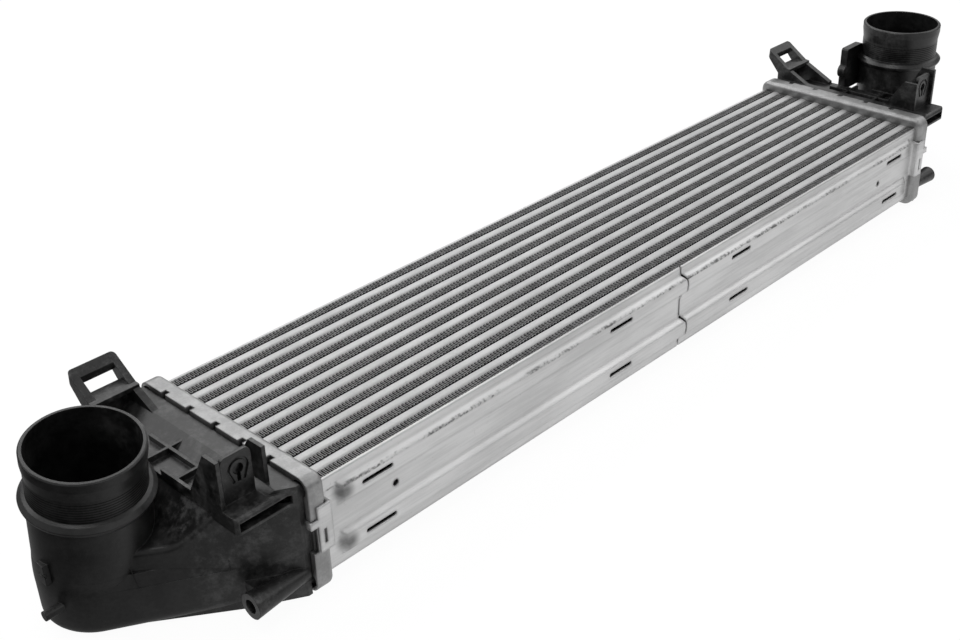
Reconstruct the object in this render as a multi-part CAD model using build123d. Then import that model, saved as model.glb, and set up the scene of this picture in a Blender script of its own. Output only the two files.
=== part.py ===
from build123d import *
from math import asin, atan2, cos, hypot, pi, sin
import os

# Charge-air intercooler with a brazed tube-and-fin core, pressed side plates, crimped headers
# and one moulded end tank at each end.
# X runs along the charge-air tubes, Y across the stack of tubes, Z through the core's depth,
# which is the way the cooling air flows. The origin is the centre of the core. All in millimetres.
# Headers, gaskets and tanks are drawn at the right end, with X counted from the end of the core.

# Charge-air tubes
core_length = 660.6
core_depth = 64.0
tube_count = 10
tube_pitch = 14.06
tube_thickness = 7.5
tube_wall = 0.9
tube_corner = 2.4
tube_stand = 5.0
turbulator_sheet = 0.3
turbulator_waves = 9
turbulator_clearance = 0.1
turbulator_inset = 6.0

# Cooling fins, drawn with a coarse wave
fin_wave = 22.0
fin_sheet = 0.45
fin_clearance = 0.05
fin_end_gap = 0.4

# Headers: a deep-drawn tray whose rim is crimped over the tank's foot
header_sheet = 2.0
header_side_margin = 6.0
header_face_margin = 7.6
header_corner = 7.5
header_edge_radius = 3.6
tube_hole_clearance = 0.05
crimp_face_reach = 2.2
crimp_side_reach = 2.2
crimp_corner = 4.0
crimp_notch_pitch = 25.2
crimp_notch_count = 5
crimp_notch_centre = 4.6
crimp_notch_width = 4.4
crimp_notch_depth = 3.6
crimp_gap_low = -10.7
crimp_gap_high = 12.6

# Rubber ring between the header's channel and the tank's foot
gasket_thickness = 3.0
gasket_width = 4.2
gasket_side_clearance = 0.4

# Side plates with two hollow beads
plate_sheet = 1.5
plate_clearance = 0.05
bead_length = 641.0
bead_width = 17.0
bead_height = 3.7
bead_slope = 42.0
bead_place = 17.5
bead_slot_length = 24.0
bead_slot_width = 3.0
bead_slot_places = (70.0, 291.6)
plate_hole_radius = 2.3
plate_hole_place = 275.6
cut_width = 1.6
cut_bridge = 2.2
cut_bow = 5.0
tongue_low = -10.5
tongue_high = 20.5
tongue_gap = 0.1
tongue_stop = 4.0
tongue_slot_length = 10.0
tongue_slot_width = 2.2
tongue_slot_height = -0.5
hook_low = 7.8
hook_high = 12.4
hook_drop = 3.0

# End tanks: foot, neck, body and elbow
tank_wall = 3.0
foot_thickness = 5.4
foot_side_clearance = 0.3
neck_clearance = 0.5
neck_length = 4.0
shoulder_half = 74.8
shoulder_end = 16.2
tank_bottom = -40.6
tank_bottom_radius = 8.0
tank_crown = 36.8
crown_end = 25.7
deck_height = 31.0
deck_start = 37.7
deck_end = 54.9
duct_top = -4.0
duct_bevel_width = 4.0
duct_bevel_height = 7.0
saddle_start = 46.7
saddle_radius = 27.0
saddle_round = 4.0
roof_start = 53.2
roof_low = 9.5
roof_blend = 14.0
elbow_radius = 33.8
elbow_base_radius = 34.3
elbow_wall = 3.8
elbow_level = -10.0
riser_foot = 5.0
riser_overlap = 8.0

# Hose spigots, both the same, on the elbow
spigot_bore = 31.1
spigot_neck = 32.6
spigot_rim = 33.6
spigot_rim_height = 6.0
spigot_rim_fade = 7.0
collar_radius = 37.1
collar_drop = 29.0
collar_height = 6.6
spigot_round = 0.8

# Left elbow: its spigot leans towards the front
left_rim = (93.8, 2.2, 71.0)
left_lean = (-0.021, -0.13, 1.0)

# Right elbow: its spigot stands upright and reaches higher
right_rim = (97.3, -1.9, 85.9)
right_lean = (0.0, 0.0, 1.0)

# Ribs on the tank's deck
rib_thickness = 2.2
rib_rows = (38.7, 53.8)
rib_row_spans = ((-33.5, 31.0), (-38.0, -3.0))
rib_columns = (-16.4, 12.2)
rib_top = 34.8

# Clip bracket on the tank's front, with a keyhole panel and a pocket under its ledge
clip_start = 22.7
clip_wall = 2.6
clip_front = -60.4
clip_outer_top = 65.8
clip_inner_top = 61.0
clip_crest = 11.8
clip_back = -31.0
finger_start = 30.3
finger_end = 50.6
finger_front = -57.6
finger_thickness = 2.4
finger_top = 64.2
finger_corner = 4.0
keyhole_place = 39.5
keyhole_height = 53.6
keyhole_radius = 3.3
keyhole_slot_width = 2.2
keyhole_slot_length = 8.0
horseshoe_radius = 6.3
horseshoe_foot = 3.4
horseshoe_width = 1.5
horseshoe_depth = 1.0
ledge_start = 13.3
ledge_front = -72.4
ledge_back = -48.0
ledge_top = 34.6
ledge_height = 10.4
ledge_radius = 3.0
pocket_start = 17.7
pocket_wall = 2.0
pocket_depth = 8.5
pocket_low = 26.0
pocket_high = 31.6

# Tubular socket beside the header, open at its outer end
socket_place = (-72.4, -24.8)
left_socket_radius = 8.3
left_socket_end = 53.9
right_socket_radius = 6.8
right_socket_end = 41.7
socket_bore = 4.4
socket_bore_depth = 18.0
socket_root_radius = 4.9
socket_web = 8.0

# Arm at the tank's rear, with a window
arm_start = 21.6
arm_end = 54.2
arm_rail_inner = 4.8
arm_rail_outer = 5.2
arm_tip = 88.6
arm_tip_height = 61.4
arm_bar_width = 6.0
arm_bar_depth = 4.4
arm_shelf_front = 64.0
arm_shelf_rear = 76.5
arm_shelf_height = 48.2
arm_shelf_thickness = 3.0
arm_elbow = (66.5, 46.6)
arm_foot_front = (38.7, 33.0)
arm_under = (75.2, 40.0)
arm_corner = 3.0

# Small parts moulded on the left elbow only
peg_radius = 3.0
peg_length = 11.0
peg_place = (0.0, -19.3)
lug_size = (2.6, 7.0, 13.0)
lug_place = (6.0, 2.8)
lug_slot = 3.2

# Boss moulded on the right elbow only
boss_start = (53.2, 24.9)
boss_size = (26.0, 6.5)
boss_top = 66.0
boss_bulge_radius = 6.0
boss_bulge_height = 45.0
boss_radius = 2.4

# Worked out from the sizes above
half_length = core_length / 2
half_depth = core_depth / 2
fin_height = tube_pitch - tube_thickness
stack_half = (tube_count * tube_pitch + fin_height) / 2
plate_inner = stack_half + plate_clearance
plate_outer = plate_inner + plate_sheet
header_half_width = stack_half + header_side_margin
header_half_height = half_depth + header_face_margin
floor_inner = header_sheet
foot_base = floor_inner + gasket_thickness
foot_top = foot_base + foot_thickness
header_end = foot_top + header_sheet
foot_half_width = header_half_width - header_sheet - foot_side_clearance
foot_half_height = header_half_height - header_sheet - foot_side_clearance
crimp_half_width = header_half_width - header_sheet - crimp_side_reach
crimp_half_height = header_half_height - header_sheet - crimp_face_reach
neck_half_width = crimp_half_width - neck_clearance
neck_half_height = crimp_half_height - neck_clearance
neck_end = header_end + neck_length / 4


def rounded(width, height, radius):
    return RectangleRounded(width, height, radius)


def across(x):
    # Plane across the tubes at this X: its first axis is Y and its second is Z.
    return Plane(origin=(x, 0, 0), x_dir=(0, 1, 0), z_dir=(1, 0, 0))


def slab(low, high):
    size = [b - a for a, b in zip(low, high)]
    place = [(a + b) / 2 for a, b in zip(low, high)]
    return Pos(*place) * Box(*size)


def prism_yz(points, start, end):
    # A closed outline given as (y, z) points, from one X to another.
    face = make_face(Polyline(*points, close=True))
    return extrude(across(start) * face, amount=end - start)


def flat_tube():
    outer = rounded(tube_thickness, core_depth, tube_corner)
    inner = rounded(tube_thickness - 2 * tube_wall, core_depth - 2 * tube_wall, tube_corner - tube_wall)
    end = half_length + tube_stand
    return extrude(across(-end) * (outer - inner), amount=2 * end)


def wave_band(steps, step, swing, sheet):
    # A zigzag band along the sketch's first axis, centred on it.
    start = -steps * step / 2
    upper = []
    lower = []
    for i in range(steps + 1):
        side = swing if i % 2 else -swing
        upper.append((start + i * step, side + sheet / 2))
        lower.append((start + i * step, side - sheet / 2))
    return make_face(Polyline(*upper, *reversed(lower), close=True))


def fin():
    length = core_length - 2 * fin_end_gap
    steps = 2 * round(length / fin_wave)
    swing = fin_height / 2 - fin_clearance - fin_sheet / 2
    band = wave_band(steps, length / steps, swing, fin_sheet)
    return extrude(Plane.XY.offset(-half_depth) * band, amount=core_depth)


def turbulator():
    room = tube_thickness - 2 * tube_wall
    width = core_depth - 2 * tube_wall - 2 * tube_corner
    steps = 2 * turbulator_waves
    swing = room / 2 - turbulator_clearance - turbulator_sheet / 2
    band = Rot(0, 0, 90) * wave_band(steps, width / steps, swing, turbulator_sheet)
    end = half_length + tube_stand - turbulator_inset
    return extrude(across(-end) * band, amount=2 * end)


def tube_places():
    first = (tube_count - 1) * tube_pitch / 2
    return [first - i * tube_pitch for i in range(tube_count)]


def fin_places():
    first = tube_count * tube_pitch / 2
    return [first - i * tube_pitch for i in range(tube_count + 1)]


def right_header():
    outline = rounded(2 * header_half_width, 2 * header_half_height, header_corner)
    block = extrude(across(0) * outline, amount=header_end)
    block = fillet(block.faces().sort_by(Axis.X)[0].edges(), header_edge_radius)
    well_width = 2 * (header_half_width - header_sheet)
    well_height = 2 * (header_half_height - header_sheet)
    well = rounded(well_width, well_height, header_corner - header_sheet)
    tray = block - extrude(across(floor_inner) * well, amount=foot_top - floor_inner)
    mouth = rounded(2 * crimp_half_width, 2 * crimp_half_height, crimp_corner)
    tray -= extrude(across(foot_top) * mouth, amount=header_end - foot_top + 1)
    for y in (-1, 1):
        for z in (-1, 1):
            corner = Pos(y * (header_half_width - header_corner), z * (header_half_height - header_corner))
            relief = corner * Circle(header_corner - header_sheet)
            tray -= extrude(across(foot_top) * relief, amount=header_end - foot_top + 1)
    hole = rounded(tube_thickness + 2 * tube_hole_clearance, core_depth + 2 * tube_hole_clearance,
                   tube_corner + tube_hole_clearance)
    for y in tube_places():
        tray -= extrude(across(-1) * Pos(y, 0) * hole, amount=header_sheet + 2)
    return tray - crimp_openings()


def crimp_openings():
    # Notches between the tabs along the broad sides, and the gap for the side plate's hook.
    cuts = []
    first = crimp_notch_centre - (crimp_notch_count - 1) * crimp_notch_pitch / 2
    for i in range(crimp_notch_count):
        y = first + i * crimp_notch_pitch
        cuts.append(slab((header_end - crimp_notch_depth, y - crimp_notch_width / 2, -header_half_height - 1),
                         (header_end + 1, y + crimp_notch_width / 2, header_half_height + 1)))
    gap_start = header_end - crimp_notch_depth
    cuts.append(slab((gap_start, -header_half_width - 1, crimp_gap_low),
                     (header_end + 1, header_half_width + 1, crimp_gap_high)))
    return cuts


def right_gasket():
    outer_width = foot_half_width - gasket_side_clearance
    outer_height = foot_half_height - gasket_side_clearance
    outer = rounded(2 * outer_width, 2 * outer_height, header_corner - header_sheet)
    inner = rounded(2 * (outer_width - gasket_width), 2 * (outer_height - gasket_width),
                    header_corner - header_sheet - gasket_width)
    return extrude(across(floor_inner) * (outer - inner), amount=gasket_thickness)


def bead(width, length, height, base):
    # A pressed bead as a solid with sloping sides, standing out along +Y from the plane at base.
    plane = Plane(origin=(0, base, 0), x_dir=(1, 0, 0), z_dir=(0, 1, 0))
    return extrude(plane * Rectangle(length, width), amount=height, taper=bead_slope)


def rear_plate():
    sheet = slab((-half_length, plate_inner, -half_depth), (half_length, plate_outer, half_depth))
    inset = 2 * plate_sheet * 0.7
    for side in (-1, 1):
        sheet += Pos(0, 0, side * bead_place) * bead(bead_width, bead_length, bead_height, plate_outer)
    for side in (-1, 1):
        hollow = bead(bead_width - inset, bead_length - inset, bead_height, plate_inner)
        sheet -= Pos(0, 0, side * bead_place) * hollow
    sheet -= plate_openings()
    sheet -= expansion_cut()
    for side in (-1, 1):
        sheet += tongue(side)
    return sheet


def plate_openings():
    plane = Plane(origin=(0, plate_inner - 1, 0), x_dir=(1, 0, 0), z_dir=(0, 1, 0))
    reach = bead_height + plate_sheet + 2
    cuts = []
    for x in bead_slot_places:
        for side in (-1, 1):
            for level in (-bead_place, bead_place):
                slot = Pos(side * x, level) * SlotOverall(bead_slot_length, bead_slot_width)
                cuts.append(extrude(plane * slot, amount=reach))
    for side in (-1, 1):
        hole = Pos(side * plate_hole_place, 0) * Circle(plate_hole_radius)
        cuts.append(extrude(plane * hole, amount=reach))
    return cuts


def expansion_cut():
    # Slits across the plate at mid length, bowed over each bead, with two narrow bridges left.
    plane = Plane(origin=(0, plate_inner - 1, 0), x_dir=(1, 0, 0), z_dir=(0, 1, 0))
    reach = bead_height + plate_sheet + 2
    bead_low = bead_place - bead_width / 2
    bead_high = bead_place + bead_width / 2
    cuts = []
    middle = Rectangle(cut_width, 2 * bead_low - 2 * cut_bridge)
    cuts.append(extrude(plane * middle, amount=reach))
    for side in (-1, 1):
        bow = ThreePointArc((0, side * (bead_low - cut_bridge / 2)), (cut_bow, side * bead_place),
                            (0, side * bead_high))
        cuts.append(extrude(plane * trace(bow, cut_width), amount=reach))
        edge = Pos(0, side * (bead_high + half_depth + 1) / 2) * Rectangle(cut_width, half_depth - bead_high)
        cuts.append(extrude(plane * edge, amount=reach))
    return cuts


def tongue(side):
    # Runs out along the header's floor, turns over its side wall and hooks over the crimp.
    rise_start = half_length - plate_sheet - tongue_gap
    outer = header_half_width + tongue_gap + plate_sheet
    inner = header_half_width + tongue_gap
    run_end = half_length + header_end - tongue_stop
    hook_start = half_length + header_end + tongue_gap
    hook_end = hook_start + plate_sheet
    rise = slab((rise_start, plate_inner, tongue_low), (half_length - tongue_gap, outer, tongue_high))
    run = slab((rise_start, inner, tongue_low), (run_end, outer, tongue_high))
    finger = slab((rise_start, inner, hook_low), (hook_end, outer, hook_high))
    hook = slab((hook_start, header_half_width - hook_drop, hook_low), (hook_end, outer, hook_high))
    middle = (half_length + run_end) / 2
    slot = slab((middle - tongue_slot_width / 2, inner - 1, tongue_slot_height - tongue_slot_length / 2),
                (middle + tongue_slot_width / 2, outer + 1, tongue_slot_height + tongue_slot_length / 2))
    solid = rise + run + finger + hook - slot
    if side > 0:
        return solid
    return mirror(solid, about=Plane.YZ)


def elbow_centre(rim, lean):
    # Where the spigot's axis passes through the duct under it.
    drop = rim[2] - elbow_level
    return (rim[0] - drop * lean[0], rim[1] - drop * lean[1])


def spigot_plane(rim, lean):
    return Plane(origin=rim, z_dir=lean)


def tangent_point(start, centre, radius, side):
    # Where a line from start touches the circle, on the side with the larger or smaller Y.
    dx = centre[0] - start[0]
    dy = centre[1] - start[1]
    turn = side * (pi / 2 - asin(radius / hypot(dx, dy)))
    angle = atan2(-dy, -dx) - turn
    return (centre[0] + radius * cos(angle), centre[1] + radius * sin(angle))


def body_outline(centre, inset):
    # Seen from above: the shoulders behind the header, drawn in tangent to the elbow.
    radius = elbow_base_radius - inset
    half = shoulder_half - inset
    front = tangent_point((shoulder_end, -half), centre, radius, -1)
    rear = tangent_point((shoulder_end, half), centre, radius, 1)
    start = neck_end if inset == 0 else 0
    wedge = Polyline((start, -half), (shoulder_end, -half), front, centre, rear,
                     (shoulder_end, half), (start, half), close=True)
    return make_face(wedge) + Pos(centre[0], centre[1]) * Circle(radius)


def wall_point(centre, inset, side):
    # Where the front or rear wall stands at the start of the saddle.
    start = (shoulder_end, side * (shoulder_half - inset))
    touch = tangent_point(start, centre, elbow_base_radius - inset, side)
    share = (saddle_start - start[0]) / (touch[0] - start[0])
    return (saddle_start, start[1] + share * (touch[1] - start[1]))


def saddle_outline(centre, inset):
    # Seen from above: the narrower part between the deck and the elbow, over the duct.
    front = wall_point(centre, inset, -1)
    rear = wall_point(centre, inset, 1)
    radius = saddle_radius - inset
    return make_face(Polyline((shoulder_end, front[1]), front, tangent_point(front, centre, radius, -1), centre,
                              tangent_point(rear, centre, radius, 1), rear, (shoulder_end, rear[1]), close=True))


def body_profile(inset):
    # Seen from the front: crown behind the header and lower deck, which ends in a thin edge.
    start = neck_end if inset == 0 else 0
    crown = tank_crown - inset
    deck = deck_height - inset
    base = tank_bottom + inset
    edge = [(deck_end, deck), (deck_end, deck - tank_wall)] if inset == 0 else [(saddle_start - inset, deck)]
    wall = saddle_start - inset
    return make_face(Plane.XZ * Polyline((start, base), (start, crown), (crown_end, crown), (deck_start, deck),
                                         *edge, (wall, edge[-1][1] - 1), (wall, base), close=True))


def saddle_profile(centre, inset):
    # Seen from the front: the roof that falls from under the deck's edge to the elbow.
    top = deck_height - tank_wall
    level = roof_low - inset
    start = roof_start - inset * 2 ** 0.5
    knee = (start + top - level, level)
    end = centre[0] + elbow_base_radius
    base = tank_bottom + inset
    face = make_face(Plane.XZ * Polyline((shoulder_end, base), (shoulder_end, top), (start, top), knee,
                                         (end, level), (end, base), close=True))
    corner = face.vertices().sort_by_distance((knee[0], 0, knee[1]))[0]
    return fillet(corner, roof_blend)


def saddle_shoulders(saddle):
    # The roof's edges along the front and rear walls.
    edges = []
    for edge in saddle.edges():
        middle = edge.position_at(0.5)
        along = abs(edge.position_at(1).X - edge.position_at(0).X)
        if middle.X > saddle_start + 2 and middle.Z > duct_top and along > 1:
            edges.append(edge)
    return edges


def duct(centre, inset):
    # The low part all round, which the elbow stands on, with a bevel up to the saddle.
    low = tank_bottom + inset
    wall_top = duct_top - duct_bevel_height
    block = extrude(Plane.XY.offset(low) * body_outline(centre, inset), amount=wall_top - low)
    if inset > 0:
        return block
    base = block.faces().sort_by(Axis.Z)[0]
    edges = [e for e in base.edges() if e.center().X > neck_end + 1]
    block = fillet(edges, tank_bottom_radius)
    bevel = extrude(Plane.XY.offset(wall_top) * body_outline(centre, inset), amount=duct_bevel_height,
                    taper=atan2(duct_bevel_width, duct_bevel_height) * 180 / pi)
    return block + bevel


def tank_body(centre, inset):
    low = tank_bottom + inset
    plan = extrude(Plane.XY.offset(low) * body_outline(centre, inset), amount=2 * tank_crown - low)
    body = plan & extrude(body_profile(inset), amount=header_half_width, both=True)
    saddle = extrude(Plane.XY.offset(low) * saddle_outline(centre, inset), amount=2 * tank_crown - low)
    saddle &= extrude(saddle_profile(centre, inset), amount=header_half_width, both=True)
    if inset == 0:
        saddle = fillet(saddle_shoulders(saddle), saddle_round)
    return [body, saddle, duct(centre, inset)]


def riser(radius, rim, lean, low):
    # The upright part of the elbow, on the spigot's axis from inside the collar down to the duct.
    top = collar_drop + collar_height / 2
    column = Pos(0, 0, -top) * Cylinder(radius, rim[2] - low - top,
                                        align=(Align.CENTER, Align.CENTER, Align.MAX))
    return spigot_plane(rim, lean) * column


def spigot(rim, lean):
    fade = -spigot_rim_height - spigot_rim_fade
    foot = -collar_drop - collar_height
    round_start = -collar_drop
    outline = Polyline((spigot_bore, foot), (spigot_bore, 0), (spigot_rim - spigot_round, 0),
                       (spigot_rim, -spigot_round), (spigot_rim, -spigot_rim_height), (spigot_neck, fade),
                       (spigot_neck, round_start + 1.0))
    collar = Polyline((spigot_neck, round_start + 1.0), (collar_radius - 2.4, round_start),
                      (collar_radius, round_start - 2.4))
    belly = ThreePointArc((collar_radius, round_start - 2.4), (collar_radius - 0.8, foot + 1.9),
                          (elbow_radius - 0.6, foot))
    close = Line((elbow_radius - 0.6, foot), (spigot_bore, foot))
    section = make_face(Plane.XZ * (outline + collar + belly + close))
    return spigot_plane(rim, lean) * revolve(section, Axis.Z)


def deck_ribs():
    ribs = []
    for x, (low, high) in zip(rib_rows, rib_row_spans):
        ribs.append(slab((x - rib_thickness / 2, low, deck_height - tank_wall),
                         (x + rib_thickness / 2, high, rib_top)))
    for y in rib_columns:
        ribs.append(slab((crown_end - 0.5, y - rib_thickness / 2, deck_height - tank_wall),
                         (rib_rows[-1], y + rib_thickness / 2, rib_top)))
    return ribs


def clip_wall_outline(top):
    return [(clip_front, deck_height - tank_wall), (clip_front, top), (clip_front + clip_crest, top),
            (clip_back, deck_height + 3), (clip_back, deck_height - tank_wall)]


def clip_bracket():
    # Two side walls on a ledge, with a snap finger that stands free between them.
    parts = [prism_yz(clip_wall_outline(clip_inner_top), clip_start, clip_start + clip_wall),
             prism_yz(clip_wall_outline(clip_outer_top), deck_end - clip_wall, deck_end)]
    finger = slab((finger_start, finger_front, ledge_top - 1),
                  (finger_end, finger_front + finger_thickness, finger_top))
    parts.append(fillet(finger.edges().filter_by(Axis.Y).sort_by(Axis.Z)[-2:], finger_corner))
    ledge = slab((ledge_start, ledge_front, ledge_top - ledge_height), (deck_end, ledge_back, ledge_top))
    front_top = ledge.edges().filter_by(Axis.X).sort_by(Axis.Y)[:2].sort_by(Axis.Z)[-1]
    corner = ledge.edges().filter_by(Axis.Z).sort_by(Axis.Y)[:2].sort_by(Axis.X)[-1]
    parts.append(fillet([front_top, corner], ledge_radius))
    return parts


def clip_cuts():
    plane = Plane(origin=(keyhole_place, finger_front, 0), x_dir=(1, 0, 0), z_dir=(0, -1, 0))
    hole = Pos(0, keyhole_height) * Circle(keyhole_radius)
    slot = Pos(0, keyhole_height - keyhole_slot_length / 2) * Rectangle(keyhole_slot_width, keyhole_slot_length)
    keyhole = extrude(plane * (hole + slot), amount=finger_thickness + 1, both=True)
    arch = ThreePointArc((-horseshoe_radius, keyhole_height), (0, keyhole_height + horseshoe_radius),
                         (horseshoe_radius, keyhole_height))
    left_leg = Line((-horseshoe_foot, keyhole_height - keyhole_slot_length), (-horseshoe_radius, keyhole_height))
    right_leg = Line((horseshoe_radius, keyhole_height), (horseshoe_foot, keyhole_height - keyhole_slot_length))
    groove = extrude(plane * trace(left_leg + arch + right_leg, horseshoe_width), amount=-horseshoe_depth)
    pocket = slab((pocket_start, ledge_front - 1, pocket_low),
                  (deck_end - pocket_wall, ledge_front + pocket_depth, pocket_high))
    return [keyhole, groove, pocket]


def socket(radius, end):
    y, z = socket_place
    start = header_end + tongue_gap + plate_sheet + 0.5
    tube = loft([across(start) * Pos(y, z) * Circle(socket_root_radius),
                 across(end) * Pos(y, z) * Circle(radius)])
    web = slab((start, y, z - socket_web / 2), (end - socket_web, -neck_half_height, z + socket_web / 2))
    return [tube, web]


def socket_hole(end):
    y, z = socket_place
    return extrude(across(end) * Pos(y, z) * Circle(socket_bore), amount=-socket_bore_depth)


def arm():
    # Two rails, a bar across their tip and a shelf between them, which leave a window.
    foot = deck_height - tank_wall
    side = [(arm_tip - 0.6, arm_tip_height), arm_elbow, arm_foot_front, (arm_foot_front[0], foot),
            (arm_under[0] - 4, foot), arm_under, (arm_tip, arm_tip_height - 6)]
    rails = [prism_yz(side, arm_start, arm_start + arm_rail_inner),
             prism_yz(side, arm_end - arm_rail_outer, arm_end)]
    slope = (arm_tip_height - arm_elbow[1]) / (arm_tip - 0.6 - arm_elbow[0])
    bar_rear = arm_tip - 0.6 - arm_bar_width
    bar = [(arm_tip - 0.6, arm_tip_height), (bar_rear, arm_tip_height - slope * arm_bar_width),
           (bar_rear, arm_tip_height - slope * arm_bar_width - arm_bar_depth), (arm_tip, arm_tip_height - 6)]
    shelf = [(arm_shelf_front, arm_shelf_height - 1), (arm_shelf_rear, arm_shelf_height),
             (arm_shelf_rear, arm_shelf_height - arm_shelf_thickness),
             (arm_shelf_front, arm_shelf_height - arm_shelf_thickness - 1)]
    stem = [(arm_shelf_rear, arm_shelf_height - 1), (arm_shelf_rear, foot),
            (arm_shelf_rear - arm_shelf_thickness, foot), (arm_shelf_rear - arm_shelf_thickness, arm_shelf_height - 1)]
    frame = rails[0] + rails[1] + prism_yz(bar, arm_start, arm_end)
    corners = [e for e in frame.edges() if e.center().Y > arm_tip - 1 and abs(e.tangent_at(0).X) < 0.1]
    parts = [fillet(corners, arm_corner)]
    for outline in (shelf, stem):
        parts.append(prism_yz(outline, arm_start, arm_end))
    return parts


def shell(rim, lean):
    # Foot, neck, body and elbow with their hollow, before the fittings are added.
    centre = elbow_centre(rim, lean)
    foot = extrude(across(foot_base) * rounded(2 * foot_half_width, 2 * foot_half_height,
                                               header_corner - header_sheet - foot_side_clearance),
                   amount=foot_thickness)
    neck = extrude(across(foot_top) * rounded(2 * neck_half_width, 2 * neck_half_height,
                                              crimp_corner - neck_clearance),
                   amount=neck_end - foot_top + 1)
    return foot + neck + tank_body(centre, 0) + riser(elbow_radius, rim, lean, elbow_level - riser_foot)


def hollow(rim, lean):
    centre = elbow_centre(rim, lean)
    mouth = rounded(2 * (neck_half_width - tank_wall), 2 * (neck_half_height - tank_wall), crimp_corner - neck_clearance)
    way = extrude(across(foot_base - 1) * mouth, amount=shoulder_end - foot_base)
    floor = tank_bottom + tank_wall
    room = slab((foot_base - 1, -shoulder_half, floor), (centre[0] + elbow_radius, shoulder_half, tank_crown))
    inside = [part & room for part in tank_body(centre, tank_wall)]
    return [way, *inside, riser(elbow_radius - elbow_wall, rim, lean, elbow_level - riser_overlap)]


def right_tank(rim, lean, socket_radius, socket_end):
    tank = shell(rim, lean)
    tank += deck_ribs() + clip_bracket() + arm() + socket(socket_radius, socket_end)
    tank -= hollow(rim, lean)
    tank += spigot(rim, lean)
    bore = spigot_plane(rim, lean) * Pos(0, 0, 1) * Cylinder(
        spigot_bore, collar_drop + collar_height + 1, align=(Align.CENTER, Align.CENTER, Align.MAX))
    tank -= bore
    tank -= clip_cuts()
    return tank - socket_hole(socket_end)


def elbow_boss():
    x, y = boss_start
    length, width = boss_size
    block = slab((x, y, deck_height - tank_wall), (x + length, y + width, boss_top))
    block = fillet(block.edges().filter_by(Axis.Y).sort_by(Axis.Z)[-2:], boss_radius)
    bulge = Pos(x + 2, y + width / 2, boss_bulge_height) * Rot(90, 0, 0) * Cylinder(boss_bulge_radius, width)
    return block + bulge


def elbow_face(centre, y):
    # How far out the middle of the elbow's wall lies at this Y.
    radius = elbow_radius - tank_wall / 2
    return centre[0] + (radius ** 2 - (y - centre[1]) ** 2) ** 0.5


def elbow_peg_and_lug(centre):
    y, z = peg_place
    root = elbow_face(centre, y)
    peg = extrude(across(root) * Pos(y, z) * Circle(peg_radius), amount=peg_length + tank_wall / 2)
    depth, width, height = lug_size
    y, z = lug_place
    root = elbow_face(centre, y)
    end = root + tank_wall / 2 + depth
    lug = slab((root, y - width / 2, z - height / 2), (end, y + width / 2, z + height / 2))
    lug -= slab((end - depth / 2, y - width, z - lug_slot / 2), (end + 1, y + width, z + lug_slot / 2))
    return [peg, lug]


def build_right_tank():
    bore = Pos(right_rim[0], right_rim[1], right_rim[2]) * Cylinder(
        spigot_bore, right_rim[2], align=(Align.CENTER, Align.CENTER, Align.MAX))
    tank = right_tank(right_rim, right_lean, right_socket_radius, right_socket_end)
    return tank + (elbow_boss() - bore)


def build_left_tank():
    centre = elbow_centre(left_rim, left_lean)
    tank = right_tank(left_rim, left_lean, left_socket_radius, left_socket_end)
    return tank + elbow_peg_and_lug(centre)


def at_right_end(shape):
    return Pos(half_length, 0, 0) * shape


def at_left_end(shape):
    return mirror(at_right_end(shape), about=Plane.YZ)


def write(name, shape):
    solids = shape.solids()
    shape = solids[0] if len(solids) == 1 else Compound(children=solids)
    export_step(shape, "parts/" + name + ".step")


def main():
    os.makedirs("parts", exist_ok=True)
    for i, y in enumerate(tube_places(), 1):
        write(f"tube_{i:02d}", Pos(0, y, 0) * flat_tube())
        write(f"turbulator_{i:02d}", Pos(0, y, 0) * turbulator())
    for i, y in enumerate(fin_places(), 1):
        write(f"fin_{i:02d}", Pos(0, y, 0) * fin())
    rear = rear_plate()
    write("rear_side_plate", rear)
    write("front_side_plate", mirror(rear, about=Plane.XZ))
    header = right_header()
    write("right_header", at_right_end(header))
    write("left_header", at_left_end(header))
    gasket = right_gasket()
    write("right_tank_gasket", at_right_end(gasket))
    write("left_tank_gasket", at_left_end(gasket))
    write("right_end_tank", at_right_end(build_right_tank()))
    write("left_end_tank", at_left_end(build_left_tank()))


main()
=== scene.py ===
import math
import random

import bmesh
import bpy
from mathutils import Matrix, Vector, noise


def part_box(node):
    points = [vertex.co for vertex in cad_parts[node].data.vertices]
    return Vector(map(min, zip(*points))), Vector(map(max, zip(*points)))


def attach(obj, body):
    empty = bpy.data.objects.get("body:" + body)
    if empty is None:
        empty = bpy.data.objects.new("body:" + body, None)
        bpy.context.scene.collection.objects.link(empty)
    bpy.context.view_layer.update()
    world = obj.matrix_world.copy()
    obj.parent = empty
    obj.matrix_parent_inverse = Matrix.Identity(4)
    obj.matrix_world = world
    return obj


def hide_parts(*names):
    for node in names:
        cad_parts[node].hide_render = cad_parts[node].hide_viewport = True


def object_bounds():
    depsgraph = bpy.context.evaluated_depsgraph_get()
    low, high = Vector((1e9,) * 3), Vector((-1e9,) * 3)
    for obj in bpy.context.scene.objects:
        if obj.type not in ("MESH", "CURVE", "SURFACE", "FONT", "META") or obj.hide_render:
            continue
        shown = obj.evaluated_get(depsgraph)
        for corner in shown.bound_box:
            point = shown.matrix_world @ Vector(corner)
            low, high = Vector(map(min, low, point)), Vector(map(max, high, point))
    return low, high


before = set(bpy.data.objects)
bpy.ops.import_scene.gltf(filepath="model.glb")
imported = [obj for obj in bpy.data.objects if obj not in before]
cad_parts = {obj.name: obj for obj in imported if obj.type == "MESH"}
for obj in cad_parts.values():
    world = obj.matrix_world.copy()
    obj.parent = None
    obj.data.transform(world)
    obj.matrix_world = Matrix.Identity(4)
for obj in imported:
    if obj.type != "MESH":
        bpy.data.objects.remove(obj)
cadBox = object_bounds()
millimetre = 0.001


# Sockets that read like numbers

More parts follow.
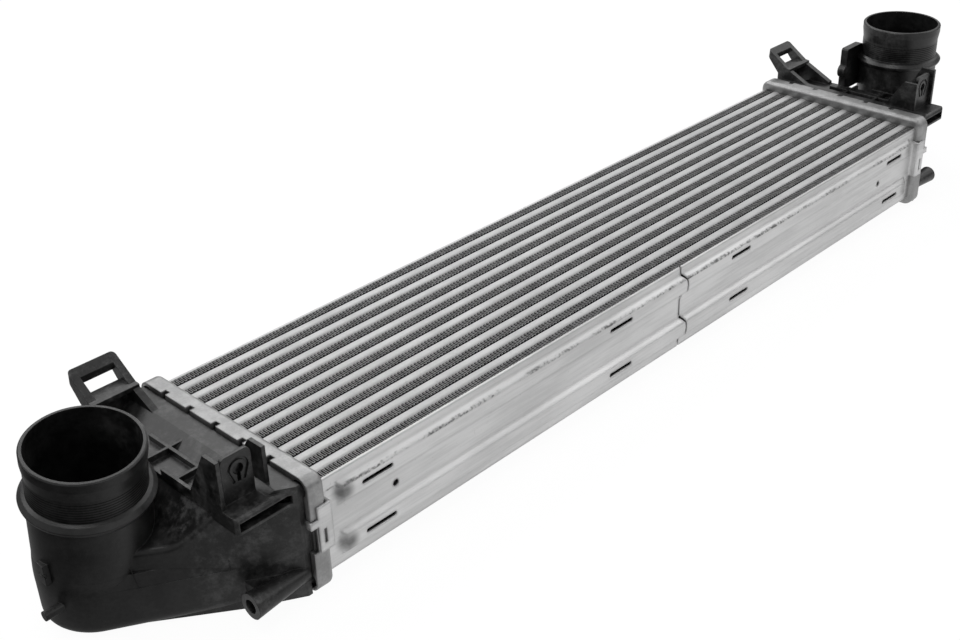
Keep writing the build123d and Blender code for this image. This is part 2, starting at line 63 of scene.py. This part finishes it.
class Wire:
    def __init__(self, tree, socket):
        self.tree = tree
        self.socket = socket

    def make(self, kind, settings=None, inputs=None, out=0):  # any node: settings first, then its sockets
        node = self.tree.nodes.new("ShaderNode" + kind)
        for name, value in (settings or {}).items():
            if name == "stops":
                setStops(node.color_ramp, value)
            else:
                setattr(node, name, value)
        for name, value in (inputs or {}).items():
            plug(self.tree, value, node.inputs[name])
        return Wire(self.tree, node.outputs[out])

    def math(self, operation, *others):  # this value first, then the others
        return self.make("Math", {"operation": operation}, dict(enumerate((self,) + others)))

    def __add__(self, other):
        return self.math("ADD", other)

    def __sub__(self, other):
        return self.math("SUBTRACT", other)

    def __rsub__(self, other):
        return self.make("Math", {"operation": "SUBTRACT"}, {0: other, 1: self})

    def __mul__(self, other):
        return self.math("MULTIPLY", other)

    __radd__ = __add__
    __rmul__ = __mul__

    def clamp(self, low, high):  # 0 up to the first value, 1 from the second on, smooth between
        inputs = {"Value": self, "From Min": low, "From Max": high}
        return self.make("MapRange", {"interpolation_type": "SMOOTHSTEP"}, inputs)

    def noise(self, scale, detail, roughness=0.5):
        inputs = {"Vector": self, "Scale": scale, "Detail": detail, "Roughness": roughness}
        return self.make("TexNoise", None, inputs)

    def stretch(self, x, y, z):
        return self.make("Mapping", None, {"Vector": self, "Scale": (x, y, z)})

    def axis(self, index):
        return self.make("SeparateXYZ", None, {"Vector": self}, index)

    def blend(self, low, high):  # a colour between two, by this value
        return self.make("Mix", {"data_type": "RGBA"}, {0: self, 6: low, 7: high}, 2)

    def bump(self, strength, distance, normal=None):
        inputs = {"Height": self, "Strength": strength, "Distance": distance}
        if normal:
            inputs["Normal"] = normal
        return self.make("Bump", None, inputs)

    def softEdges(self, radius):  # a normal that turns smoothly over the edges
        return self.make("Bevel", {"samples": 8}, {"Radius": radius})


def plug(tree, value, socket):
    if isinstance(value, Wire):
        tree.links.new(value.socket, socket)
    elif isinstance(value, tuple) and len(value) == 3 and socket.type == "RGBA":
        socket.default_value = value + (1.0,)
    else:
        socket.default_value = value


def setStops(ramp, stops):
    while len(ramp.elements) < len(stops):
        ramp.elements.new(0.5)
    for element, (place, level) in zip(ramp.elements, stops):
        element.position = place
        element.color = (level, level, level, 1.0)


def weigh(weights, *wires):  # each wire times its weight, added up
    return sum(wire * weight for wire, weight in zip(wires, weights))


def distance(axes, point):  # from a point, over as many axes as are given
    away = [axis - value for axis, value in zip(axes, point)]
    return sum(a * a for a in away).math("SQRT")


def newMaterial(name):
    material = bpy.data.materials.new(name)
    material.use_nodes = True
    tree = material.node_tree
    shader = tree.nodes["Principled BSDF"]
    place = Wire(tree, tree.nodes.new("ShaderNodeTexCoord").outputs["Object"])
    return material, place, shader


def setShader(shader, **values):  # names with _ for the blanks
    for name, value in values.items():
        plug(shader.id_data, value, shader.inputs[name.replace("_", " ").title()])


def grey(level):
    return (level, level, level)


# Finishes. A noise is its scale, detail and roughness, and a mix gives the weights of what it adds up

coreFinish = {
    "grey": 0.45, "pale": 0.55, "metal": 0.5, "rough": 0.44, "roughSpread": 0.12,
    "cloud": (38.0, 5, 0.62), "grain": (900.0, 4), "grainStretch": (0.06, 1.0, 1.0), "sand": (1300.0, 2),
    "toneMix": (0.6, 0.2, 0.2), "toneRange": (0.35, 0.65),
    "fleck": (420.0, 2), "fleckRange": (0.62, 0.72), "fleckShare": 0.5,
    "heightMix": (0.6, 1.0, 0.8), "bump": (0.16, 0.0004),
}


def tubeMetal():
    s = coreFinish
    material, place, shader = newMaterial("tubeMetal")
    cloud = place.noise(*s["cloud"])
    grain = place.stretch(*s["grainStretch"]).noise(*s["grain"])
    sand = place.noise(*s["sand"])
    fleck = place.noise(*s["fleck"]).clamp(*s["fleckRange"])
    tone = weigh(s["toneMix"], cloud, grain, sand).clamp(*s["toneRange"])
    setShader(shader, base_color=(tone - fleck * s["fleckShare"]).blend(grey(s["grey"]), grey(s["pale"])),
              metallic=s["metal"], roughness=grain * s["roughSpread"] + s["rough"],
              normal=weigh(s["heightMix"], cloud, grain, sand).bump(*s["bump"]))
    return material


# The darkest grey is painted shade, put into the folds below their top rim
finFinish = {
    "deep": 0.006, "grey": 0.34, "edge": 0.55, "metal": 0.6, "rough": 0.42,
    "tone": (260.0, 3), "toneRange": (0.3, 0.7), "rim": (0.03152, 0.03190), "bump": (0.2, 0.0002),
}


def finMetal():
    s = finFinish
    material, place, shader = newMaterial("finMetal")
    tone = place.noise(*s["tone"]).clamp(*s["toneRange"])
    rim = place.axis(2).math("ABSOLUTE").clamp(*s["rim"])  # plain metal at the top rim, painted shade below it down in the folds
    metal = tone.blend(grey(s["grey"]), grey(s["edge"]))
    setShader(shader, base_color=rim.blend(grey(s["deep"]), metal), metallic=s["metal"],
              roughness=s["rough"], normal=tone.bump(*s["bump"]))
    return material


plateFinish = {
    "grey": 0.60, "pale": 0.74, "metal": 0.8, "rough": 0.30, "roughMix": (0.12, 0.3), "edgeRadius": 0.0030,
    "cloud": (46.0, 5, 0.6), "cloudStretch": (0.25, 1.0, 1.0),
    "rolled": (520.0, 3), "rolledStretch": (0.03, 1.0, 1.0),
    "toneMix": (0.65, 0.35), "toneRange": (0.38, 0.62), "heightMix": (1.0, 0.5, 1.0), "bump": (0.10, 0.0005),
    "flux": 0.16, "stain": (95.0, 5, 0.7), "stainStretch": (0.35, 1.0, 1.0), "grit": (420.0, 3),
    "fluxMix": (0.6, 0.4), "fluxRange": (0.43, 0.66), "fluxLevel": 0.0228, "fluxReach": (0.0002, 0.0018),
    "speck": (700.0, 2), "speckRange": (0.66, 0.74), "speckShare": 0.25,
    # the last three give the painted shade around the bead ends: its reach, cloud range and strength
    "beadEnd": (0.3165, 0.0175), "smudgeReach": (0.0015, 0.0095), "smudgeRange": (0.25, 0.6), "smudge": 0.95,
}


def plateMetal():
    s = plateFinish
    material, place, shader = newMaterial("plateMetal")
    rolled = place.stretch(*s["rolledStretch"]).noise(*s["rolled"])
    cloud = place.stretch(*s["cloudStretch"]).noise(*s["cloud"])
    stain = place.stretch(*s["stainStretch"]).noise(*s["stain"])
    height = place.axis(2)
    nearRoot = 1 - (height - s["fluxLevel"]).math("ABSOLUTE").clamp(*s["fluxReach"])
    flux = weigh(s["fluxMix"], stain, place.noise(*s["grit"])).clamp(*s["fluxRange"]) * nearRoot
    reach = distance((place.axis(0).math("ABSOLUTE"), height.math("ABSOLUTE")), s["beadEnd"])
    # painted shade around the ends of the beads, cloudy, in the flux grey
    smudge = (1 - reach.clamp(*s["smudgeReach"])) * cloud.clamp(*s["smudgeRange"])
    speck = place.noise(*s["speck"]).clamp(*s["speckRange"]) * s["speckShare"]
    tone = weigh(s["toneMix"], cloud, rolled).clamp(*s["toneRange"])
    metal = tone.blend(grey(s["grey"]), grey(s["pale"]))
    stained = (flux + speck).clamp(0.0, 1.0).blend(metal, grey(s["flux"]))
    soft = place.softEdges(s["edgeRadius"])
    setShader(shader, base_color=(smudge * s["smudge"]).blend(stained, grey(s["flux"])),
              metallic=(1 - flux) * s["metal"], roughness=weigh(s["roughMix"], rolled, flux) + s["rough"],
              normal=weigh(s["heightMix"], cloud, rolled, flux).bump(*s["bump"], soft))
    return material


headerFinish = {
    "grey": 0.29, "pale": 0.40, "metal": 0.9, "rough": 0.38, "roughSpread": 0.14, "edgeRadius": 0.0016,
    "cloud": (85.0, 5, 0.6), "fine": (650.0, 3), "toneMix": (0.7, 0.3), "toneRange": (0.36, 0.64),
    "heightMix": (1.0, 0.3), "bump": (0.12, 0.0005),
}


def headerMetal():
    s = headerFinish
    material, place, shader = newMaterial("headerMetal")
    cloud = place.noise(*s["cloud"])
    fine = place.noise(*s["fine"])
    tone = weigh(s["toneMix"], cloud, fine).clamp(*s["toneRange"])
    soft = place.softEdges(s["edgeRadius"])
    setShader(shader, base_color=tone.blend(grey(s["grey"]), grey(s["pale"])), metallic=s["metal"],
              roughness=fine * s["roughSpread"] + s["rough"],
              normal=weigh(s["heightMix"], cloud, fine).bump(*s["bump"], soft))
    return material


plasticFinish = {
    "dark": 0.002, "grey": 0.016, "shine": 0.50, "neckShine": 0.12, "rough": 0.24, "roughMix": (0.16, 0.10),
    "edgeRadius": 0.0006, "cloud": (34.0, 5, 0.65), "patch": (95.0, 4, 0.7), "grain": (1500.0, 2),
    "fibre": (480.0, 4, 0.7), "fibreStretch": (1.0, 0.35, 1.0),
    "toneMix": (0.45, 0.30, 0.25), "toneRange": (0.38, 0.62),
    "heightMix": (1.0, 0.7, 0.4), "bump": (0.16, 0.0004),
    # the pale grey and its mottle give lighter patches towards the header, partly painted light
    "scuff": 0.080, "scuffCloud": (60.0, 5, 0.7), "scuffGrit": (260.0, 4, 0.7), "scuffMix": (0.6, 0.4),
    "scuffRange": (0.44, 0.72), "scuffEnd": (0.390, 0.409),
    # painted light on the saddle: its centre, reach and strength
    "rubbed": (0.388, -0.026, 0.020), "rubReach": (0.004, 0.024), "rub": 2.0,
}


def tankPlastic(name, shine):  # lighter mottled patches towards the header, partly painted light, and painted light on the saddle
    s = plasticFinish
    material, place, shader = newMaterial(name)
    cloud = place.noise(*s["cloud"])
    patch = place.noise(*s["patch"])
    fibre = place.stretch(*s["fibreStretch"]).noise(*s["fibre"])
    grain = place.noise(*s["grain"])
    tone = weigh(s["toneMix"], cloud, patch, fibre).clamp(*s["toneRange"])
    outward = place.axis(0).math("ABSOLUTE")
    nearHeader = 1 - outward.clamp(*s["scuffEnd"])
    reach = distance((outward, place.axis(1), place.axis(2)), s["rubbed"])
    # painted light, strongest at the middle of the saddle
    rub = (1 - reach.clamp(*s["rubReach"])) * s["rub"]
    mottle = weigh(s["scuffMix"], place.noise(*s["scuffCloud"]), place.noise(*s["scuffGrit"]))
    # lighter mottle towards the header, partly painted light, and painted light in a spot on the saddle
    scuff = mottle.clamp(*s["scuffRange"]) * (nearHeader + rub)
    plain = tone.blend(grey(s["dark"]), grey(s["grey"]))
    soft = place.softEdges(s["edgeRadius"])
    setShader(shader, base_color=scuff.blend(plain, grey(s["scuff"])),
              roughness=weigh(s["roughMix"], cloud, fibre) + s["rough"],
              normal=weigh(s["heightMix"], cloud, fibre, grain).bump(*s["bump"], soft))
    shader.inputs["Specular IOR Level"].default_value = shine
    return material


gasketFinish = {
    "dark": 0.008, "grey": 0.018, "rough": 0.7, "roughSpread": 0.1,
    "tone": (220.0, 4), "toneRange": (0.35, 0.65), "bump": (0.1, 0.0003),
}


def gasketRubber():
    s = gasketFinish
    material, place, shader = newMaterial("gasketRubber")
    tone = place.noise(*s["tone"]).clamp(*s["toneRange"])
    setShader(shader, base_color=tone.blend(grey(s["dark"]), grey(s["grey"])),
              roughness=tone * s["roughSpread"] + s["rough"], normal=tone.bump(*s["bump"]))
    return material


# Fins: a folded strip in each gap, in mm. The zigzag goes by shares of the pitch and from side to side
foldSettings = {
    "pitch": 2.86, "round": 0.16, "sheet": 0.22, "clearance": 0.02, "endGap": 0.6, "mergeShare": 0.01,
    "zigzag": [(0.0, -1), (0.25, -1), (0.35, 1), (0.65, 1), (0.75, -1), (1.0, -1)], "cuts": (2.0, 5.0, 11.0),
    "sway": 0.12, "swayWaves": (90, 7.3, 6), "drift": 0.30, "driftWaves": (14, 3.1),
}


def foldedStrip(name, low, high, row):
    s = foldSettings
    pitch = s["pitch"] * millimetre
    start = low.x + s["endGap"] * millimetre
    count = int((high.x - low.x - 2 * s["endGap"] * millimetre) / pitch)
    centre = (low.y + high.y) / 2
    sheet = s["sheet"] * millimetre
    swing = (high.y - low.y) / 2 - sheet / 2 - s["clearance"] * millimetre
    bm = bmesh.new()
    corners = [(start + share * pitch, centre + side * swing, high.z) for share, side in s["zigzag"]]
    verts = [bm.verts.new(corner) for corner in corners]
    for first, second in zip(verts, verts[1:]):
        bm.edges.new((first, second))
    turns = [v for v in verts if len(v.link_edges) == 2]
    bmesh.ops.bevel(bm, geom=turns, offset=s["round"] * millimetre, offset_type="OFFSET", segments=2,
                    profile=0.5, affect="VERTICES", material=-1)
    unit = bm.verts[:] + bm.edges[:]
    for k in range(1, count):
        copy = bmesh.ops.duplicate(bm, geom=unit)["geom"]
        moved = [v for v in copy if isinstance(v, bmesh.types.BMVert)]
        bmesh.ops.translate(bm, verts=moved, vec=(k * pitch, 0, 0))
    bmesh.ops.remove_doubles(bm, verts=bm.verts, dist=pitch * s["mergeShare"])
    edges = bm.edges[:]
    above = 0.0
    for level in [c * millimetre for c in s["cuts"]] + [high.z - low.z]:  # down through the core in steps
        grown = bmesh.ops.extrude_edge_only(bm, edges=edges)["geom"]
        moved = [v for v in grown if isinstance(v, bmesh.types.BMVert)]
        bmesh.ops.translate(bm, verts=moved, vec=(0, 0, above - level))
        edges = [e for e in grown if isinstance(e, bmesh.types.BMEdge)]
        above = level
    swayAlong, swayRow, swayDown = s["swayWaves"]
    driftAlong, driftRow = s["driftWaves"]
    for v in bm.verts:
        sway = noise.noise(Vector((v.co.x * swayAlong, row * swayRow, v.co.z * swayDown))) * s["sway"]
        drift = noise.noise(Vector((v.co.x * driftAlong, row * driftRow, 0.0))) * s["drift"]
        v.co.x += (sway + drift) * millimetre
    bendFolds(bm, row, high.z, swing, centre)
    mesh = bpy.data.meshes.new(name)
    bm.to_mesh(mesh)
    bm.free()
    strip = bpy.data.objects.new(name, mesh)
    bpy.context.collection.objects.link(strip)
    wall = strip.modifiers.new("wall", "SOLIDIFY")
    wall.thickness = sheet
    wall.offset = 0.0
    wall.use_even_offset = False
    return strip


# Bent folds, in mm. Places seen, by row from the front: middle along X, length and lean. The rest by chance
bendSettings = {
    "places": {11: [(308.0, 30.0, 1.7)], 10: [(250.0, 8.0, 1.2)], 9: [(205.0, 6.0, 1.2)],
               6: [(60.0, 5.0, 1.4)], 3: [(40.0, 5.0, 0.9)], 1: [(-276.0, 6.0, 1.1), (-262.0, 5.0, 0.9)]},
    "count": 7, "along": (-320, 320), "length": (1.5, 4.0), "lean": (-0.7, 0.7),
    "reach": 4.5, "sideHold": 0.6, "evenShare": 0.6, "jitterWaves": (900, 500),
}


def bendFolds(bm, row, top, swing, centre):
    s = bendSettings
    chance = random.Random(row)
    reach = s["reach"] * millimetre
    places = list(s["places"].get(row, []))
    for _ in range(s["count"]):
        places.append([chance.uniform(*s[name]) for name in ("along", "length", "lean")])
    jitterAlong, jitterAcross = s["jitterWaves"]
    for middle, length, lean in places:
        for v in bm.verts:
            depth = top - v.co.z
            along = abs(v.co.x / millimetre - middle) / length
            if depth < reach and along < 1:
                share = (1 - along ** 2) * (1 - depth / reach)
                across = 1 - s["sideHold"] * abs(v.co.y - centre) / swing
                jitter = noise.noise(Vector((v.co.x * jitterAlong, v.co.y * jitterAcross, row)))
                v.co.x += lean * share * across * (s["evenShare"] + jitter) * millimetre


def makeFins(material):
    rows = sorted(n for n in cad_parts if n.startswith("fin_"))
    for index, node in enumerate(rows, 1):
        low, high = [Vector(c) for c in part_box(node)]
        strip = foldedStrip("folded_" + node, low, high, len(rows) + 1 - index)
        strip.data.materials.append(material)
        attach(strip, "root")
        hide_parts(node)
    print("folded fins", len(rows))


# Skins and ridges moulded on the tanks, in mm: rings joined one to the next

def placePiece(name, bm, material):
    mesh = bpy.data.meshes.new(name)
    bm.to_mesh(mesh)
    bm.free()
    mesh.materials.append(material)
    piece = bpy.data.objects.new(name, mesh)
    bpy.context.collection.objects.link(piece)
    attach(piece, "root")


def ringSkin(name, rings, segments, material):  # a ring is its centre, axis and radius
    bm = bmesh.new()
    before = None
    for centre, axis, radius in rings:
        turn = Vector(axis).to_track_quat("Z", "Y").to_matrix().to_4x4()
        place = Matrix.Translation(Vector(centre) * millimetre) @ turn
        made = bmesh.ops.create_circle(bm, segments=segments, radius=radius * millimetre, matrix=place)
        edges = list({e for v in made["verts"] for e in v.link_edges})
        if before:
            bmesh.ops.bridge_loops(bm, edges=before + edges)
        before = edges
    bmesh.ops.recalc_face_normals(bm, faces=bm.faces)
    for face in bm.faces:
        face.smooth = True
    placePiece(name, bm, material)


spigots = {
    "left": {"rim": (-424.1, 2.2, 71.0), "axis": (0.021, -0.13, 1.0), "centre": (-425.8, 12.73)},
    "right": {"rim": (427.6, -1.9, 85.9), "axis": (0.0, 0.0, 1.0), "centre": (427.6, -1.9)},
}


def alongAxis(spigot, depth):
    axis = Vector(spigot["axis"]).normalized()
    return Vector(spigot["rim"]) - axis * depth


neck = {
    "start": 14.0, "end": 27.4, "step": 0.35, "radius": 32.45, "ridge": 0.26, "pitch": 1.7, "segments": 128,
}


def makeNeckRibs(material):
    count = int((neck["end"] - neck["start"]) / neck["step"])
    for side, spigot in spigots.items():
        rings = []
        for i in range(count + 1):
            depth = neck["start"] + i * neck["step"]
            wave = 0.5 + 0.5 * math.cos(2 * math.pi * depth / neck["pitch"])
            rings.append((alongAxis(spigot, depth), spigot["axis"], neck["radius"] + wave * neck["ridge"]))
        ringSkin(side + "_neck_ribs", rings, neck["segments"], material)
    print("neck ribs")


elbow = {
    "baseRadius": 34.36, "baseLevels": (-15.0, -11.2), "columnRadius": 33.86, "columnLevel": 1.0,
    "steps": 6, "segments": 128,
}
throat = {"rings": [(12.0, 31.10), (30.5, 29.95), (44.0, 29.80)], "segments": 96}  # depth and radius


def makeElbowBlends(material):
    for side, spigot in spigots.items():
        rim, axis, centre = Vector(spigot["rim"]), Vector(spigot["axis"]), spigot["centre"]
        low, high = elbow["baseLevels"]
        rings = [((centre[0], centre[1], z), (0, 0, 1), elbow["baseRadius"]) for z in (low, high)]
        for i in range(1, elbow["steps"] + 1):
            share = i / elbow["steps"]
            level = high + (elbow["columnLevel"] - high) * share
            leaning = rim + axis * (level - rim.z) / axis.z
            place = Vector((centre[0], centre[1], level)).lerp(leaning, share)
            radius = elbow["baseRadius"] + (elbow["columnRadius"] - elbow["baseRadius"]) * share
            rings.append((place, Vector((0, 0, 1)).lerp(axis, share), radius))
        ringSkin(side + "_elbow_blend", rings, elbow["segments"], material)
        inner = [(alongAxis(spigot, depth), spigot["axis"], radius) for depth, radius in throat["rings"]]
        ringSkin(side + "_throat", inner, throat["segments"], material)
    print("elbow blends")


keyholeBack = {"middle": (369.8, -54.9, 52.4), "size": (12.0, 0.5, 17.0)}  # closes the keyhole, in mm


def makeKeyholeBacks(material):
    for side, sign in (("left", -1), ("right", 1)):
        x, y, z = keyholeBack["middle"]
        bm = bmesh.new()
        bmesh.ops.create_cube(bm, size=millimetre)
        bmesh.ops.scale(bm, verts=bm.verts, vec=keyholeBack["size"])
        bmesh.ops.translate(bm, verts=bm.verts, vec=Vector((sign * x, y, z)) * millimetre)
        placePiece(side + "_keyhole_back", bm, material)
    print("keyhole backs")


# The mould's parting lines on the left tank, in mm
partingLines = {
    "radius": 0.26, "segments": 8,
    "points": [(-382.0, -53.6, -4.6), (-382.0, -53.6, -11.3), (-424.5, -28.1, -11.3), (-424.5, -24.4, -4.6),
               (-424.5, -22.3, 0.5), (-424.5, -26.4, 31.0)],
}


def makePartingLines(material):
    points = [Vector(p) for p in partingLines["points"]]
    for part, (first, second) in enumerate(zip(points, points[1:]), 1):
        rings = [(end, second - first, partingLines["radius"]) for end in (first, second)]
        ringSkin(f"parting_line_1_{part}", rings, partingLines["segments"], material)
    print("parting lines")


# Which finish each solid takes, by a word of its name

def dressNodes(finishes):
    for name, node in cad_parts.items():
        for word, material in finishes.items():
            if word in name:
                node.data.materials.clear()
                node.data.materials.append(material)
    print("dressed nodes", len(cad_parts))


# Floor, lights and camera, in metres. The sky's levels go by height, from straight down to straight up
studio = {
    "floorSize": 8.0, "floorGrey": 0.62, "floorRough": 0.9, "floorGlow": 1.06, "shadowShare": 0.10,
    "floorShine": (0.03, 0.80), "shineReach": (-0.58, -0.27), "backdrop": 1.0,
    "sky": [(0.0, 0.10), (0.5, 0.11), (0.62, 0.34), (0.78, 0.46), (0.9, 0.38), (1.0, 0.34)],
}


def makeFloor():
    bm = bmesh.new()
    bmesh.ops.create_grid(bm, x_segments=2, y_segments=2, size=studio["floorSize"] / 2)
    bmesh.ops.translate(bm, verts=bm.verts, vec=(0, 0, cadBox[0][2]))
    mesh = bpy.data.meshes.new("floor")
    bm.to_mesh(mesh)
    bm.free()
    floor = bpy.data.objects.new("floor", mesh)
    bpy.context.collection.objects.link(floor)
    material, place, shader = newMaterial("paleFloor")
    tree = material.node_tree
    setShader(shader, base_color=grey(studio["floorGrey"]), roughness=studio["floorRough"])
    low, high = studio["floorShine"]
    along = place.axis(0).clamp(*studio["shineReach"])
    shine = place.make("Emission", None, {"Color": along.blend(grey(low), grey(high))})
    glow = place.make("Emission", None, {"Strength": studio["floorGlow"]})
    mirrored = place.make("LightPath", out="Is Glossy Ray")
    seen = place.make("LightPath", out="Is Camera Ray") * (1 - studio["shadowShare"])
    lit = place.make("MixShader", None, {0: mirrored, 1: Wire(tree, shader.outputs[0]), 2: shine})
    white = place.make("MixShader", None, {0: seen, 1: lit, 2: glow})
    plug(tree, white, tree.nodes["Material Output"].inputs["Surface"])
    mesh.materials.append(material)


def makeWorld():
    world = bpy.data.worlds.new("studio")
    world.use_nodes = True
    bpy.context.scene.world = world
    tree = world.node_tree
    sky = tree.nodes["Background"]
    way = Wire(tree, tree.nodes.new("ShaderNodeTexCoord").outputs["Generated"])
    height = way.axis(2) * 0.5 + 0.5
    level = height.make("ValToRGB", {"stops": studio["sky"]}, {0: height})
    plug(tree, level, sky.inputs["Color"])
    white = way.make("Background", None, {"Color": grey(1.0), "Strength": studio["backdrop"]})
    seen = way.make("LightPath", out="Is Camera Ray")
    shown = way.make("MixShader", None, {0: seen, 1: Wire(tree, sky.outputs[0]), 2: white})
    plug(tree, shown, tree.nodes["World Output"].inputs["Surface"])


lamps = {
    "rear": {"place": (-0.1, 1.5, 1.6), "aim": (-0.1, 0, 0), "size": (3.6, 0.9), "power": 22.0},
    "rearRight": {"place": (1.7, 1.5, 1.2), "aim": (0, 0, 0), "size": (1.8, 1.0), "power": 5.0},
    "right": {"place": (1.8, 0.0, 1.9), "aim": (0, 0, 0), "size": (1.2, 2.4), "power": 10.0},
    "frontRight": {"place": (1.5, -1.3, 1.3), "aim": (0, 0, 0), "size": (1.6, 1.0), "power": 5.0},
    "front": {"place": (-0.1, -1.6, 1.5), "aim": (-0.35, 0, 0), "size": (1.2, 0.7), "power": 2.5},
    "overhead": {"place": (-0.6, 0.0, 1.9), "aim": (-0.4, 0, 0), "size": (0.8, 0.8), "power": 8.0},
    "left": {"place": (-2.2, -0.2, 0.7), "aim": (-0.35, 0, 0), "size": (0.2, 0.8), "power": 0.3},
}


def makeLamps():
    for name, s in lamps.items():
        lamp = bpy.data.lights.new(name, "AREA")
        lamp.shape = "RECTANGLE"
        lamp.size, lamp.size_y = s["size"]
        lamp.energy = s["power"]
        lightObject = bpy.data.objects.new(name, lamp)
        away = Vector(s["place"]) - Vector(s["aim"])
        turn = away.to_track_quat("Z", "Y").to_matrix().to_4x4()
        lightObject.matrix_world = Matrix.Translation(s["place"]) @ turn
        bpy.context.collection.objects.link(lightObject)


# The photo's camera: place, sensor in mm, angles in degrees, focal length and width in pixels
shot = {
    "place": (-692.25, -566.67, 479.44), "heading": 45.009, "pitch": -30.038, "roll": -2.149,
    "focal": 1354.59, "imageWidth": 960, "sensor": 36.0, "nearest": 0.05, "farthest": 40.0,
}


def makeCamera():
    camera = bpy.data.cameras.new("camera")
    camera.sensor_width = shot["sensor"]
    camera.lens = shot["focal"] * shot["sensor"] / shot["imageWidth"]
    camera.clip_start = shot["nearest"]
    camera.clip_end = shot["farthest"]
    eye = bpy.data.objects.new("camera", camera)
    turn = Matrix.Rotation(math.radians(shot["heading"] - 90), 4, "Z")
    tilt = Matrix.Rotation(math.radians(shot["pitch"] + 90), 4, "X")
    roll = Matrix.Rotation(math.radians(shot["roll"]), 4, "Z")
    place = Matrix.Translation(Vector(shot["place"]) * millimetre)
    eye.matrix_world = place @ turn @ tilt @ roll
    bpy.context.collection.objects.link(eye)
    bpy.context.scene.camera = eye


bpy.context.scene.view_settings.view_transform = "Standard"
makeWorld()
makeFloor()
makeLamps()
makeCamera()
print("stage ready")

plastic = tankPlastic("tankPlastic", plasticFinish["shine"])
# the neck takes a less shiny copy of the tank plastic, painted shade that darkens it
neckPlastic = tankPlastic("neckPlastic", plasticFinish["neckShine"])
dressNodes({"tube_": tubeMetal(), "side_plate": plateMetal(), "header": headerMetal(), "end_tank": plastic,
            "gasket": gasketRubber(), "turbulator": finMetal()})
makeFins(finMetal())
makeNeckRibs(neckPlastic)
makeElbowBlends(plastic)
makeKeyholeBacks(plastic)
makePartingLines(plastic)
